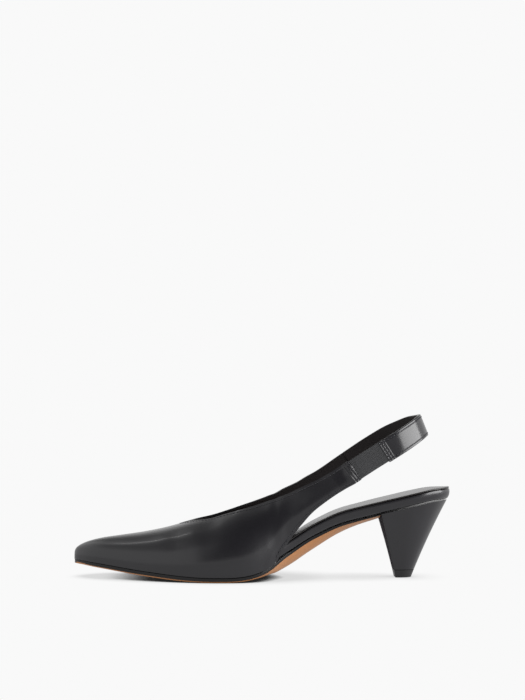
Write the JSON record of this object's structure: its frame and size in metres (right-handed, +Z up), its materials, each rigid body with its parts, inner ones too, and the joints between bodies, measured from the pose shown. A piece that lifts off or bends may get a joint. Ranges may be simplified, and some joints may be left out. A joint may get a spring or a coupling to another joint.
{
  "type": "slingback pump",
  "caption": "Pointed women's pump with a deep throat, a sling strap with an elastic gore, a tan leather sole and a covered cone heel.",
  "frame": {"origin": "on the floor, under the middle of the shoe's length and width", "axes": "+X along the foot from the toe to the heel, +Z up, the outer side faces -Y"},
  "size_m": [0.255, 0.0814, 0.1099],
  "materials": {
    "calf": "smooth",
    "gore": "ribbed",
    "lining": "smooth",
    "sole": "satin",
    "rubber": "matt"
  },
  "bodies": {
    "root": {"upper": "calf", "sling_strap": "calf", "elastic": "gore", "footbed": "calf", "insole": "lining", "outsole": "sole", "heel": "calf", "top_lift": "rubber"}
  },
  "joints": []
}
